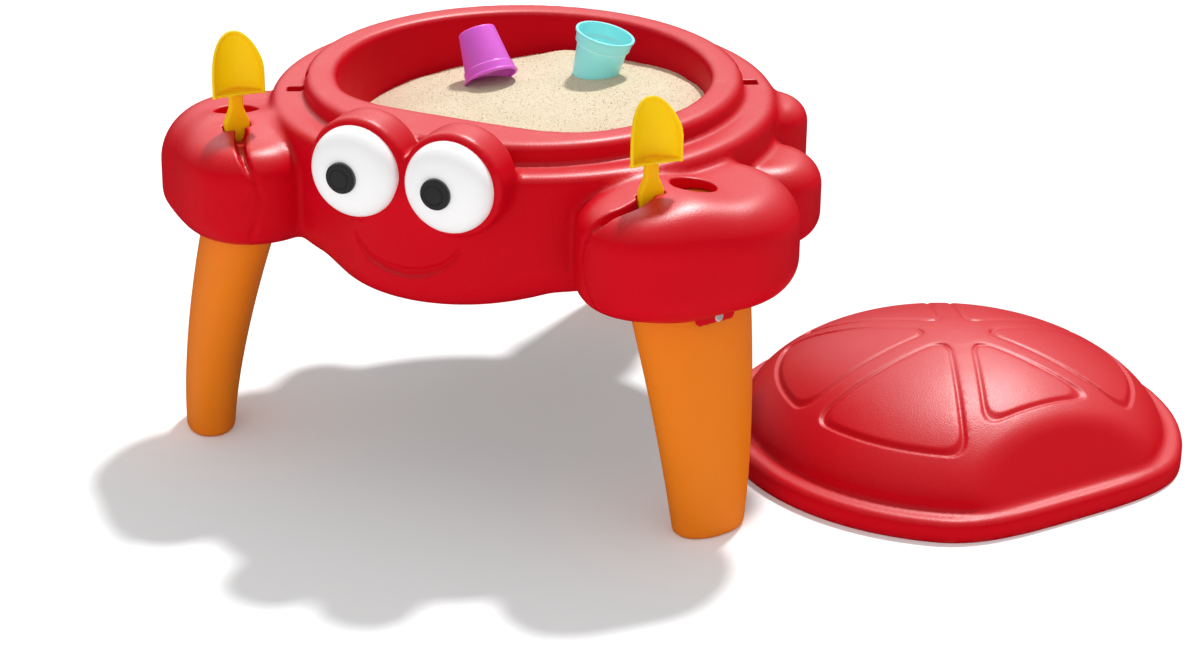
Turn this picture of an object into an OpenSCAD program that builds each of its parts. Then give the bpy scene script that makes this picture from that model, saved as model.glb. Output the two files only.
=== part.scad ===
// Crab-shaped toddler sand table: a double-walled moulded body on three legs,
// with a domed lift-off cover, two cups and two shovels.
// Millimetres, +Z up. The origin is on the floor under the centre of the basin, and the crab faces -Y.

/* [Table body] */
// Radius of the ledge that the cover rests on
ledge_r = 320; // [312:1:326]
// Height of the ledge above the floor
ledge_z = 445; // [442:1:452]
// Height of the underside of the body above the floor
belly_z = 284; // [278:1:290]
// Height of the raised rim above the ledge
rim_h = 25; // [20:1:30]
// Outer radius of the raised rim
rim_r = 277; // [270:1:282]
// Radius of the basin opening
basin_r = 238; // [230:1:242]
// Height of the basin floor above the table's floor
basin_z = 352; // [340:1:360]
// Distance from the basin's centre to its straight front edge
basin_front = 194; // [190:1:198]
// Thickness of the moulded wall
wall = 4; // [3:0.5:5]

/* [Claws and sockets] */
// Angle of the front legs and claw holes from the X axis
leg_angle = 32; // [31:0.5:33]
// Distance from the basin's centre to a leg socket
socket_dist = 363; // [360:1:366]
// Radius of the round hole in the top of each claw
claw_hole_r = 27.5; // [26:0.5:30]
// Height of the top of the claws
claw_z = 427; // [424:1:430]

/* [Legs] */
// Distance from the basin's centre to the middle of a foot
foot_dist = 411; // [405:1:415]
// Radius of the round spigot on top of each leg
spigot_r = 40; // [38:0.5:42]
// Height of the top of a front leg's spigot, the floor of a claw hole
spigot_z = 415; // [408:1:416]
// Height of the top of the rear leg's spigot
rear_spigot_z = 396; // [390:1:398]
// Thickness of a leg's wall
leg_wall = 3; // [2.5:0.5:4]

/* [Eyes] */
// Distance from the middle of the face to the middle of an eye
eye_x = 61.6; // [60:0.2:64]
// Height of the middle of an eye
eye_z = 440; // [436:1:442]
// Radius of the white of an eye
eye_r = 56; // [54:0.5:57]
// Radius of a pupil
pupil_r = 18; // [16:0.5:20]
// How far both pupils look to the crab's right
look = 4.5; // [0:0.5:8]

/* [Cover] */
// Outer radius of the cover
lid_r = 297; // [294:1:300]
// Distance from the cover's centre to its straight front edge
lid_front = 263; // [260:1:266]
// Height of the cover
lid_h = 154; // [150:1:158]
// Thickness of the cover's wall
lid_wall = 3; // [2.5:0.5:4]
// Place of the cover on the floor, along X
lid_x = 544; // [540:1:560]
// Place of the cover on the floor, along Y
lid_y = 146; // [130:1:160]
// Turn of the cover on the floor, from the way it sits on the table
lid_turn = 54.6; // [50:0.2:60]

/* [Toys] */
// Length of a shovel
shovel_len = 190; // [186:1:194]
// Length of a shovel's blade
blade_len = 77; // [72:1:82]
// Width of a shovel's blade
blade_w = 66; // [62:1:68]
// Wall of the cups and shovels
toy_wall = 2; // [1.6:0.1:2.4]

/* [Hidden] */
$fn = 96;

big = 1000;
claw_low = belly_z + 8;    // underside of the claws
rim_z = ledge_z + rim_h;
face_y = -343;             // front of the face
eye_seat_y = -339;         // plane that the whites sit on
eye_depth = 33;
stem_r = 8;
stem_len = 45;
screw_z = claw_low - 9;
screw_r = 2.5;
screw_in = 59;             // distance of a screw's head from the socket's axis
lug_w = 50;
slot_w = 34;
slot_t = 15;
slot_depth = 70;
claw_shift = 5.5;          // both claws stand a little to the crab's left
shovel_x = 276;            // place of a shovel's slot
shovel_y = -247;
shovel_turn = 48;             // turn of both slots, the same on the left
shovel_in = 64;              // length of a shovel inside its slot
gap = 0.4;                 // clearance around what lifts out
leg_angles = [leg_angle - 180, -leg_angle, 90];
spigot_tops = [spigot_z, spigot_z, rear_spigot_z];

// A round block with rounded edges, standing from z0 to z1. inset shrinks it all round.
module puck(r, z0, z1, low, top, inset = 0) {
    h = z1 - z0 - 2 * inset;
    lo = low - inset;
    hi = top - inset;
    rr = r - inset;
    translate([0, 0, z0 + inset]) rotate_extrude() {
        square([rr - lo, h / 2]);
        translate([0, h / 2]) square([rr - hi, h / 2]);
        translate([0, lo]) square([rr, h - lo - hi]);
        translate([rr - lo, lo]) circle(lo);
        translate([rr - hi, h - hi]) circle(hi);
    }
}

// A disc of radius r with its front cut straight at a distance of front.
module d_shape(r, front) intersection() {
    circle(r);
    translate([-big / 2, -front]) square(big);
}

module both_sides() {
    children();
    mirror([1, 0, 0]) children();
}

module at_leg(angle, dist) rotate(angle) translate([dist, 0, 0]) children();

// ---- body ----

// The lobes that make up the outside of the body.
module body_form(inset = 0) {
    puck(ledge_r, belly_z, ledge_z, 44, 14, inset);
    puck(rim_r, ledge_z - 60, rim_z, 14, 13, inset);
    translate([0, face_y + 172, 0]) puck(172, belly_z - 12, ledge_z - 8, 44, 20, inset);
    translate([0, 348, 0]) puck(90, claw_low, 404, 40, 40, inset);
    translate([claw_shift, 0, 0]) both_sides() {
        translate([304, -166, 0]) puck(118, claw_low, claw_z, 45, 58, inset);
        translate([264, -250, 0]) puck(82, claw_low + 2, claw_z - 4, 38, 40, inset);
    }
    both_sides() {
        translate([eye_x, eye_seat_y + 62, eye_z]) rotate([90, 0, 0]) puck(64, 0, 62, 22, 8, inset);
        translate([315, 20, 0]) puck(76, claw_low, ledge_z - 46, 36, 37, inset);
        translate([272, 130, 0]) puck(60, claw_low + 2, ledge_z - 14, 29, 29, inset);
    }
}

module basin_space(grow = 0)
    translate([0, 0, basin_z - grow]) linear_extrude(big) d_shape(basin_r + grow, basin_front + grow);

module socket_space(grow = 0) for (i = [0:2]) at_leg(leg_angles[i], socket_dist)
    translate([0, 0, belly_z - 30]) cylinder(h = spigot_tops[i] - belly_z + 30 + grow, r = spigot_r + gap + grow);

module claw_hole_space(grow = 0) for (a = [leg_angles[0], leg_angles[1]]) at_leg(a, socket_dist)
    translate([0, 0, spigot_z - 1]) cylinder(h = 60, r = claw_hole_r + grow);

module shovel_frame(side) translate([side * shovel_x, shovel_y, claw_z]) rotate(shovel_turn) children();

module slot_space(grow = 0) for (side = [-1, 1]) shovel_frame(side)
    translate([-slot_w / 2 - grow, -slot_t / 2 - grow, -slot_depth - grow])
        cube([slot_w + 2 * grow, slot_t + 2 * grow, big]);

module eye_hole(grow = 0) for (side = [-1, 1])
    translate([side * eye_x - look, eye_seat_y + 20, eye_z]) rotate([90, 0, 0]) {
    cylinder(h = 60, r = stem_r + 0.05 + grow);
    translate([0, 0, -6 - grow]) cylinder(h = 20, r = stem_r + 0.05 + grow);
}

// Flat seat for each white, cut back into the face.
module eye_seat(grow = 0) both_sides() translate([eye_x, eye_seat_y + grow, eye_z])
    rotate([90, 0, 0]) cylinder(h = 60, r = eye_r + gap + grow);

// Groove of the smile, a shallow arc across the face.
module smile() translate([0, face_y + 1, 410]) rotate([90, 0, 0]) difference() {
    rotate_extrude() translate([84, 0]) circle(4);
    translate([0, 52, 0]) cube([200, 168, 20], center = true);
}

// Tab under the body that holds a leg's screw.
module screw_lug() translate([screw_in - 7, -lug_w / 2, claw_low - 17]) cube([5, lug_w, 31]);

module latch_slots() for (a = [-154, 30]) rotate(a)
    translate([ledge_r - 46, -7, ledge_z - 9]) cube([24, 14, 40]);

module crab_body() color("crimson") difference() {
    union() {
        difference() {
            body_form();
            basin_space();
            difference() {
                body_form(wall);
                basin_space(wall);
                socket_space(wall);
                claw_hole_space(wall);
                slot_space(wall);
                eye_hole(wall);
                eye_seat(wall);
            }
        }
        for (a = leg_angles) at_leg(a, socket_dist) screw_lug();
    }
    socket_space();
    claw_hole_space();
    slot_space();
    eye_hole();
    eye_seat();
    smile();
    latch_slots();
    for (a = leg_angles) at_leg(a, socket_dist) translate([screw_in - 20, 0, screw_z])
        rotate([0, 90, 0]) cylinder(h = 40, r = screw_r + 0.6);
    translate([0, -100, belly_z - 20]) cylinder(h = 40, r = 6);   // vent
}

// ---- eyes ----

module eye_frame(x) translate([x, eye_seat_y, eye_z]) rotate([90, 0, 0]) children();

// Domed white with a seat and a hole for the pupil's stem.
module eye_white(side) eye_frame(side * eye_x) difference() {
    rotate_extrude() intersection() {
        square([eye_r, eye_depth]);
        union() {
            square([eye_r, 3]);
            translate([0, (eye_depth * eye_depth - eye_r * eye_r) / (2 * eye_depth)])
                circle((eye_depth * eye_depth + eye_r * eye_r) / (2 * eye_depth));
        }
    }
    translate([-look, 0, eye_depth - 5]) cylinder(h = 10, r = pupil_r + 0.2);
    translate([-look, 0, -1]) cylinder(h = eye_depth, r = stem_r + 0.05);
    translate([0, 0, -1]) difference() {
        cylinder(h = 16, r = 40);
        translate([0, 0, -1]) cylinder(h = 20, r = 16);
    }
}

// Push-in pupil: a stepped dome on a stem that holds the white on.
module pupil(side) eye_frame(side * eye_x - look) {
    translate([0, 0, eye_depth - 5]) puck(pupil_r, 0, 8, 2, 3);
    translate([0, 0, eye_depth + 1]) puck(pupil_r - 7, 0, 5, 1, 2.5);
    translate([0, 0, eye_depth - stem_len]) cylinder(h = stem_len, r = stem_r);
}

// ---- legs ----

// Size and place of a leg's oval section at height fraction u, from the foot up.
function leg_half_radial(u) = 31 + 16 * u;
function leg_half_across(u) = 47 + 35 * pow(u, 0.9);
function leg_shift(u) = (foot_dist - socket_dist) * (1 - pow(u, 1.6));
function leg_ring(u, z, inset, n) = [for (i = [0:n - 1]) let (a = 360 * i / n)
    [leg_shift(u) + (leg_half_radial(u) - inset) * cos(a), (leg_half_across(u) - inset) * sin(a), z]];

module leg_skin(z0, z1, inset) {
    n = 40;
    rows = 9;
    points = [for (k = [0:rows]) let (z = z0 + (z1 - z0) * k / rows) each leg_ring(z / belly_z, z, inset, n)];
    sides = [for (k = [0:rows - 1]) for (i = [0:n - 1])
        let (a = k * n + i, b = k * n + (i + 1) % n) each [[a, a + n, b], [b, a + n, b + n]]];
    bottom = [[for (i = [0:n - 1]) i]];
    top = [[for (i = [n - 1:-1:0]) rows * n + i]];
    polyhedron(points, concat(sides, bottom, top));
}

leg_top = claw_low - 0.3;

module leg(top_z) difference() {
    union() {
        leg_skin(0, leg_top, 0);
        translate([0, 0, leg_top - 10]) cylinder(h = top_z - leg_top + 10 - gap, r = spigot_r);
    }
    leg_skin(leg_wall, leg_top - leg_wall, leg_wall);
    translate([0, 0, leg_top - 20]) cylinder(h = top_z - leg_top + 20 - leg_wall, r = spigot_r - leg_wall);
    translate([foot_dist - socket_dist, 0, -1]) cylinder(h = 10, r = 5);   // vent
    translate([screw_in - 24, 0, screw_z]) rotate([0, 90, 0]) cylinder(h = 20, r = screw_r + 0.1);
}

module leg_screw() translate([screw_in, 0, screw_z]) rotate([0, -90, 0]) {
    cylinder(h = 20, r = screw_r);
    translate([0, 0, -3]) cylinder(h = 5, r = 6);
}

// ---- sand ----

module sand_fill() color("wheat") difference() {
    intersection() {
        translate([0, 0, basin_z]) linear_extrude(big) d_shape(basin_r, basin_front);
        translate([70, 60, 437 - 900]) sphere(900, $fn = 200);
    }
    blue_frame() cup_path(blue, -0.6, 200);
    purple_frame() cup_path(purple, -200, purple[3] + 0.6);
}

// ---- cover ----

lid_base_r = lid_r - 26;
lid_base_z = 28;

// Outline of the dome's half section: a curve a little fuller than a cone.
function dome_outline(inset) = [for (i = [0:12]) let (t = 7.5 * i)
    [(lid_base_r - inset) * pow(cos(t), 1.15), lid_base_z + (lid_h - inset - lid_base_z) * pow(sin(t), 1.15)]];

module lid_form(inset = 0) intersection() {
    rotate_extrude($fn = 144) polygon(concat([[0, -1], [lid_base_r - inset, -1]], dome_outline(inset)));
    translate([0, 0, -1]) linear_extrude(lid_h + 1) d_shape(lid_r, lid_front - 20 - inset);
}

module lid() color("crimson") translate([lid_x, lid_y, 0]) rotate(lid_turn) difference() {
    union() {
        intersection() {
            lid_form();
            translate([-big / 2, -big / 2, 0]) cube(big);
        }
        translate([0, 0, 2]) linear_extrude(24) d_shape(lid_r, lid_front);
        linear_extrude(28) d_shape(lid_r - 6, lid_front - 6);
    }
    lid_form(lid_wall);
    translate([0, 0, -1]) linear_extrude(25) d_shape(lid_r - lid_wall - 5, lid_front - lid_wall - 5);
}

// ---- toys ----

// A cup is [lip radius, waist radius, base radius, height, band height].
blue = [39, 33, 28, 62, 15];
purple = [36, 31, 24, 59, 13];

module cup(c) difference() {
    union() {
        cylinder(h = c[3], r1 = c[2], r2 = c[1]);
        translate([0, 0, c[3] - c[4]]) cylinder(h = c[4], r1 = c[0] - 3, r2 = c[0] - 1.5);
        translate([0, 0, c[3] - 3]) cylinder(h = 3, r = c[0]);
    }
    translate([0, 0, toy_wall]) cylinder(h = c[3] - c[4] - toy_wall, r1 = c[2] - toy_wall, r2 = c[1] - toy_wall);
    translate([0, 0, c[3] - c[4] - 0.01]) cylinder(h = c[4] + 0.02, r1 = c[1] - toy_wall, r2 = c[0] - toy_wall - 1.5);
}

// Room that a cup needs in the sand, open along its axis.
module cup_path(c, z0, z1) translate([0, 0, z0]) cylinder(h = z1 - z0, r = c[0] + 0.8);

module blue_frame() translate([50, 112, 424]) rotate([-3, 13, 0]) children();
module purple_frame() translate([-99, 67, 487]) rotate([0, 143, -35.6]) children();

module shovel() translate([0, 0, -shovel_in]) {
    handle = shovel_len - blade_len;
    tip = blade_w * 0.5;
    scoop_r = blade_w / 2 + 4;
    scoop_y = 6 - scoop_r;
    // scoop with its hollow towards the front
    translate([0, 0, handle]) difference() {
        intersection() {
            translate([0, scoop_y, 0]) cylinder(h = blade_len, r = scoop_r);
            translate([0, 18, 0]) rotate([90, 0, 0]) linear_extrude(40) {
                translate([-blade_w / 2, 0]) square([blade_w, blade_len - tip]);
                translate([0, blade_len - tip]) intersection() {
                    circle(blade_w / 2);
                    translate([-blade_w / 2, 0]) square([blade_w, tip]);
                }
            }
        }
        translate([0, scoop_y, toy_wall + 1]) cylinder(h = blade_len, r = scoop_r - toy_wall);
    }
    // neck and flared grip
    translate([0, 5.5, 0]) rotate([90, 0, 0]) linear_extrude(11) polygon([
        [-10, 0], [10, 0], [15, shovel_in - 4], [7, shovel_in + 22], [6, handle + 2],
        [-6, handle + 2], [-7, shovel_in + 22], [-15, shovel_in - 4]]);
}

crab_body();
color("white") eye_white(-1);  // eye_white_left
color("white") eye_white(1);  // eye_white_right
color("black") pupil(-1);  // pupil_left
color("black") pupil(1);  // pupil_right
color("orange") at_leg(leg_angles[0], socket_dist) leg(spigot_z);  // leg_front_left
color("orange") at_leg(leg_angles[1], socket_dist) leg(spigot_z);  // leg_front_right
color("orange") at_leg(leg_angles[2], socket_dist) leg(rear_spigot_z);  // leg_rear
color("silver") for (a = leg_angles) at_leg(a, socket_dist) leg_screw();  // leg_screws
sand_fill();
lid();
color("gold") shovel_frame(-1) shovel();  // shovel_left
color("gold") shovel_frame(1) shovel();  // shovel_right
color("skyblue") blue_frame() cup(blue);  // cup_blue
color("orchid") purple_frame() cup(purple);  // cup_purple
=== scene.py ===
# Crab sand table with its lift-off cover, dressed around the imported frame.
# Shapes are worked out in millimetres and turned into metres when a mesh is made.
import math
import bmesh
import bpy
import numpy as np
from mathutils import Matrix, Vector


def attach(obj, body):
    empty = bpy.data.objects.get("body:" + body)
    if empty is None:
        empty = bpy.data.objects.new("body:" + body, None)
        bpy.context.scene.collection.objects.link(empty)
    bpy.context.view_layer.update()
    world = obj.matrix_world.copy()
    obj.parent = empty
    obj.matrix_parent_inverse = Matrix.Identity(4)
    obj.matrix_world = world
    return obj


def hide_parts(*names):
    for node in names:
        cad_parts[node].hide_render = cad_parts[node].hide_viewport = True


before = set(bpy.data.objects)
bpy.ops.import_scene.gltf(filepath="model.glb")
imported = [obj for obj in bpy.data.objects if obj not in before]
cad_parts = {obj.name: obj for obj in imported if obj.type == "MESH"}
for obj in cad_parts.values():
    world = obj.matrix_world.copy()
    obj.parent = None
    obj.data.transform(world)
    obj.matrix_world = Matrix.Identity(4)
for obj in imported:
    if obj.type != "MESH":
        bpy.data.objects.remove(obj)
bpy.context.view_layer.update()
print("frame loaded")

millimetre = 0.001


# helpers for meshes

def objectFromArrays(name, points, faces, smooth=True):
    mesh = bpy.data.meshes.new(name)
    mesh.from_pydata((np.asarray(points) * millimetre).tolist(), [], [list(map(int, f)) for f in faces])
    mesh.validate()
    if smooth:
        mesh.polygons.foreach_set("use_smooth", [True] * len(mesh.polygons))
    piece = bpy.data.objects.new(name, mesh)
    bpy.context.scene.collection.objects.link(piece)
    return piece


def recalcOutward(piece):
    bm = bmesh.new()
    bm.from_mesh(piece.data)
    bmesh.ops.remove_doubles(bm, verts=bm.verts, dist=1e-6)
    bmesh.ops.recalc_face_normals(bm, faces=bm.faces)
    bm.to_mesh(piece.data)
    bm.free()


def applyModifiers(piece):
    bpy.context.view_layer.update()
    evaluated = piece.evaluated_get(bpy.context.evaluated_depsgraph_get())
    finished = bpy.data.meshes.new_from_object(evaluated)
    piece.modifiers.clear()
    old = piece.data
    piece.data = finished
    bpy.data.meshes.remove(old)


def dress(piece, material, body, nodes=()):
    piece.data.materials.clear()
    piece.data.materials.append(material)
    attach(piece, body)
    if nodes:
        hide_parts(*nodes)


def turnedAxes(rx, ry, rz):
    # axes of a frame turned about x, then y, then z, in degrees
    turn = (Matrix.Rotation(math.radians(rz), 3, "Z")
            @ Matrix.Rotation(math.radians(ry), 3, "Y")
            @ Matrix.Rotation(math.radians(rx), 3, "X"))
    return np.array(turn).T


def placed(points, origin, axesRows):
    return np.asarray(points) @ np.asarray(axesRows) + np.asarray(origin)


def spunAxes(degrees):
    # axes of a frame turned about the upright
    a = math.radians(degrees)
    return np.array([(math.cos(a), math.sin(a), 0), (-math.sin(a), math.cos(a), 0), (0, 0, 1)])


def lathe(profile, turns=96):
    # closed outline of (radius, height) turned about z; points on the axis become poles
    points, faces, rings = [], [], []
    angles = np.linspace(0, 2 * math.pi, turns, endpoint=False)
    for radius, height in profile:
        start = len(points)
        if radius < 1e-6:
            points.append((0, 0, height))
            rings.append([start] * turns)
        else:
            points.extend((radius * math.cos(a), radius * math.sin(a), height) for a in angles)
            rings.append(list(range(start, start + turns)))
    for low, high in zip(rings, rings[1:]):
        for i in range(turns):
            j = (i + 1) % turns
            corners = [low[i], low[j], high[j], high[i]]
            face = [c for n, c in enumerate(corners) if c != corners[n - 1]]
            if len(face) > 2:
                faces.append(face)
    return np.array(points, float), faces


def roundedProfile(corners, steps=5):
    # corners are (radius, height, rounding); rounded ones turn into short arcs
    outline = []
    for n, (r, z, rounding) in enumerate(corners):
        here = np.array([r, z], float)
        if rounding <= 0 or n in (0, len(corners) - 1):
            outline.append((r, z))
            continue
        before = np.array(corners[n - 1][:2], float) - here
        after = np.array(corners[n + 1][:2], float) - here
        reach = min(rounding, 0.49 * np.linalg.norm(before), 0.49 * np.linalg.norm(after))
        start = here + before / np.linalg.norm(before) * reach
        end = here + after / np.linalg.norm(after) * reach
        for t in np.linspace(0, 1, steps + 1):
            outline.append(tuple((1 - t) ** 2 * start + 2 * t * (1 - t) * here + t * t * end))
    return outline


# smooth solids: distance fields, made into quads that lie on the surface

def nearest(fields):
    d = None
    for one in fields:
        d = one if d is None else np.minimum(d, one)
    return d


def blendMin(a, b, k):
    h = np.maximum(k - np.abs(a - b), 0) / k
    return np.minimum(a, b) - h * h * k * 0.25


def blendMax(a, b, k):
    return -blendMin(-a, -b, k)


def puck(x, y, z, centreX, centreY, radius, low, high, lowRound, highRound):
    # round block with rounded edges; the distance to its surface
    across = np.hypot(x - centreX, y - centreY)
    fromMiddle = z - (low + high) / 2
    rounding = np.where(fromMiddle > 0, highRound, lowRound)
    side = across - radius + rounding
    level = np.abs(fromMiddle) - (high - low) / 2 + rounding
    outside = np.hypot(np.maximum(side, 0), np.maximum(level, 0))
    return np.minimum(np.maximum(side, level), 0) + outside - rounding


def boxField(x, y, z, half, rounding):
    qx = np.abs(x) - half[0] + rounding
    qy = np.abs(y) - half[1] + rounding
    qz = np.abs(z) - half[2] + rounding
    outside = np.sqrt(np.maximum(qx, 0) ** 2 + np.maximum(qy, 0) ** 2 + np.maximum(qz, 0) ** 2)
    return outside + np.minimum(np.maximum(np.maximum(qx, qy), qz), 0) - rounding


def capsuleField(x, y, z, a, b, radiusA, radiusB):
    a, b = np.array(a, float), np.array(b, float)
    d = b - a
    t = np.clip(((x - a[0]) * d[0] + (y - a[1]) * d[1] + (z - a[2]) * d[2]) / (d @ d), 0, 1)
    away = np.sqrt((x - a[0] - t * d[0]) ** 2 + (y - a[1] - t * d[1]) ** 2 + (z - a[2] - t * d[2]) ** 2)
    return away - radiusA - t * (radiusB - radiusA)


def pathField(x, y, z, path):
    # a tube along points of (x, y, z, radius)
    return nearest(capsuleField(x, y, z, p[:3], q[:3], p[3], q[3]) for p, q in zip(path, path[1:]))


def quadSkin(field, low, high, cell):
    # one point in each cell that the surface crosses, joined across each crossed edge
    low = np.array(low, float)
    count = np.ceil((np.array(high, float) - low) / cell).astype(int) + 1
    gx, gy, gz = (low[i] + cell * np.arange(count[i]) for i in range(3))
    value = np.empty(count, np.float32)
    for i in range(0, count[0], 16):
        part = np.meshgrid(gx[i:i + 16], gy, gz, indexing="ij")
        value[i:i + 16] = field(*part)
    inside = value < 0
    cells = count - 1
    total = np.zeros(tuple(cells) + (3,), np.float32)
    hits = np.zeros(cells, np.float32)
    for axis in range(3):
        others = [a for a in range(3) if a != axis]
        lo = [slice(None)] * 3
        hi = [slice(None)] * 3
        lo[axis] = slice(0, -1)
        hi[axis] = slice(1, None)
        a, b = value[tuple(lo)], value[tuple(hi)]
        crossed = inside[tuple(lo)] != inside[tuple(hi)]
        t = np.where(crossed, a / np.where(crossed, a - b, 1), 0)
        for du in (0, 1):
            for dv in (0, 1):
                pick = [slice(None)] * 3
                pick[others[0]] = slice(du, du + cells[others[0]])
                pick[others[1]] = slice(dv, dv + cells[others[1]])
                c = crossed[tuple(pick)]
                hits += c
                total[..., axis] += np.where(c, t[tuple(pick)], 0)
                total[..., others[0]] += c * du
                total[..., others[1]] += c * dv
    active = hits > 0
    number = np.full(cells, -1, np.int64)
    number[active] = np.arange(active.sum())
    index = np.argwhere(active)
    points = low + cell * (index + total[active] / hits[active][:, None])
    quads = []
    for axis in range(3):
        u, v = (axis + 1) % 3, (axis + 2) % 3
        lo = [slice(1, -1)] * 3
        hi = [slice(1, -1)] * 3
        lo[axis] = slice(0, -1)
        hi[axis] = slice(1, None)
        a, b = inside[tuple(lo)], inside[tuple(hi)]
        at = np.argwhere(a != b)
        base = at.copy()
        base[:, u] += 1
        base[:, v] += 1
        ring = []
        for du, dv in ((-1, -1), (0, -1), (0, 0), (-1, 0)):
            corner = base.copy()
            corner[:, u] += du
            corner[:, v] += dv
            ring.append(number[corner[:, 0], corner[:, 1], corner[:, 2]])
        ring = np.stack(ring, 1)
        outward = a[tuple(at.T)]
        ring[~outward] = ring[~outward][:, ::-1]
        quads.append(ring)
    return points, np.concatenate(quads)


def slope(field, p, step=0.25):
    g = np.empty_like(p)
    for axis in range(3):
        d = np.zeros(3)
        d[axis] = step
        g[:, axis] = (field(*(p + d).T) - field(*(p - d).T)) / (2 * step)
    return g


def settle(field, p, rounds=4, most=3.0):
    # moves points onto the surface along its slope
    for _ in range(rounds):
        g = slope(field, p)
        d = field(*p.T)
        move = -(d / np.maximum((g * g).sum(1), 0.05))[:, None] * g
        length = np.linalg.norm(move, axis=1)[:, None]
        p = p + move * np.minimum(1, most / np.maximum(length, 1e-9))
    return p


def evenOut(field, points, edges, rounds, share=0.6, fixed=None):
    # slides points towards the middle of their neighbours, then back onto the surface
    for _ in range(rounds):
        total = np.zeros_like(points)
        count = np.zeros(len(points))
        np.add.at(total, edges[:, 0], points[edges[:, 1]])
        np.add.at(total, edges[:, 1], points[edges[:, 0]])
        np.add.at(count, edges[:, 0], 1)
        np.add.at(count, edges[:, 1], 1)
        moved = points + share * (total / count[:, None] - points)
        if fixed is not None:
            moved[fixed] = points[fixed]
        points = settle(field, moved, 2)
    return points


def meshEdges(mesh):
    edges = np.empty(len(mesh.edges) * 2, np.int64)
    mesh.edges.foreach_get("vertices", edges)
    return edges.reshape(-1, 2)


def meshPoints(mesh):
    p = np.empty(len(mesh.vertices) * 3)
    mesh.vertices.foreach_get("co", p)
    return p.reshape(-1, 3)


def skinPiece(name, coarse, fine, low, high, cell, nearDetail=(), rounds=3):
    # coarse field gives the skin; edges near detail are split, then everything settles on the fine field
    points, quads = quadSkin(coarse, low, high, cell)
    piece = objectFromArrays(name, points, quads)
    mesh = piece.data
    p = evenOut(coarse, meshPoints(mesh) / millimetre, meshEdges(mesh), rounds)
    for near, reach in nearDetail:
        mesh.vertices.foreach_set("co", (p * millimetre).ravel())
        close = np.abs(near(*p.T)) < reach
        bm = bmesh.new()
        bm.from_mesh(mesh)
        bm.verts.ensure_lookup_table()
        chosen = [e for e in bm.edges if close[e.verts[0].index] and close[e.verts[1].index]]
        bmesh.ops.subdivide_edges(bm, edges=chosen, cuts=1, use_grid_fill=True)
        bm.to_mesh(mesh)
        bm.free()
        p = settle(fine, meshPoints(mesh) / millimetre, 3)
        p = evenOut(fine, p, meshEdges(mesh), 2)
    p = settle(fine, p, 4)
    mesh.vertices.foreach_set("co", (p * millimetre).ravel())
    mesh.polygons.foreach_set("use_smooth", [True] * len(mesh.polygons))
    mesh.update()
    return piece


# shared shader effects

def groupShell(name, inputs, outputs):
    group = bpy.data.node_groups.new(name, "ShaderNodeTree")
    for label, kind, value in inputs:
        socket = group.interface.new_socket(label, in_out="INPUT", socket_type=kind)
        if value is not None:
            socket.default_value = value
    for label, kind in outputs:
        group.interface.new_socket(label, in_out="OUTPUT", socket_type=kind)
    return group, group.nodes.new("NodeGroupInput"), group.nodes.new("NodeGroupOutput")


def addNode(tree, kind, links=None, **settings):
    node = tree.nodes.new(kind)
    for key, value in settings.items():
        setattr(node, key, value)
    for socket, value in (links or {}).items():
        if isinstance(value, bpy.types.NodeSocket):
            tree.links.new(value, node.inputs[socket])
        else:
            node.inputs[socket].default_value = value
    return node


def makeMouldedSkin():
    # fine grain of a textured mould, slow unevenness, and rubbed high edges
    group, given, out = groupShell("mouldedSkin", [
        ("Grain Scale", "NodeSocketFloat", 700.0),
        ("Grain Depth", "NodeSocketFloat", 0.5),
        ("Wear", "NodeSocketFloat", 0.5)], [
        ("Height", "NodeSocketFloat"), ("Patch", "NodeSocketFloat"), ("Wear Mask", "NodeSocketFloat")])
    where = addNode(group, "ShaderNodeTexCoord").outputs["Object"]
    grain = addNode(group, "ShaderNodeTexNoise", {
        "Vector": where, "Scale": given.outputs["Grain Scale"], "Detail": 3.0, "Roughness": 0.6})
    slow = addNode(group, "ShaderNodeTexNoise", {
        "Vector": where, "Scale": 9.0, "Detail": 4.0, "Roughness": 0.55})
    ripple = addNode(group, "ShaderNodeTexNoise", {"Vector": where, "Scale": 34.0, "Detail": 1.0})
    fineHeight = addNode(group, "ShaderNodeMath", {
        0: grain.outputs["Fac"], 1: given.outputs["Grain Depth"]}, operation="MULTIPLY")
    slowHeight = addNode(group, "ShaderNodeMath", {0: ripple.outputs["Fac"], 1: 0.5}, operation="MULTIPLY")
    height = addNode(group, "ShaderNodeMath", {
        0: fineHeight.outputs[0], 1: slowHeight.outputs[0]}, operation="ADD")
    shape = addNode(group, "ShaderNodeNewGeometry")
    edge = addNode(group, "ShaderNodeMapRange", {
        "Value": shape.outputs["Pointiness"], "From Min": 0.53, "From Max": 0.60})
    scuff = addNode(group, "ShaderNodeTexNoise", {
        "Vector": where, "Scale": 55.0, "Detail": 6.0, "Roughness": 0.7})
    broken = addNode(group, "ShaderNodeMapRange", {
        "Value": scuff.outputs["Fac"], "From Min": 0.45, "From Max": 0.7})
    rubbed = addNode(group, "ShaderNodeMath", {
        0: edge.outputs[0], 1: broken.outputs[0]}, operation="MULTIPLY")
    worn = addNode(group, "ShaderNodeMath", {
        0: rubbed.outputs[0], 1: given.outputs["Wear"]}, operation="MULTIPLY", use_clamp=True)
    group.links.new(height.outputs[0], out.inputs["Height"])
    group.links.new(slow.outputs["Fac"], out.inputs["Patch"])
    group.links.new(worn.outputs[0], out.inputs["Wear Mask"])
    return group


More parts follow.
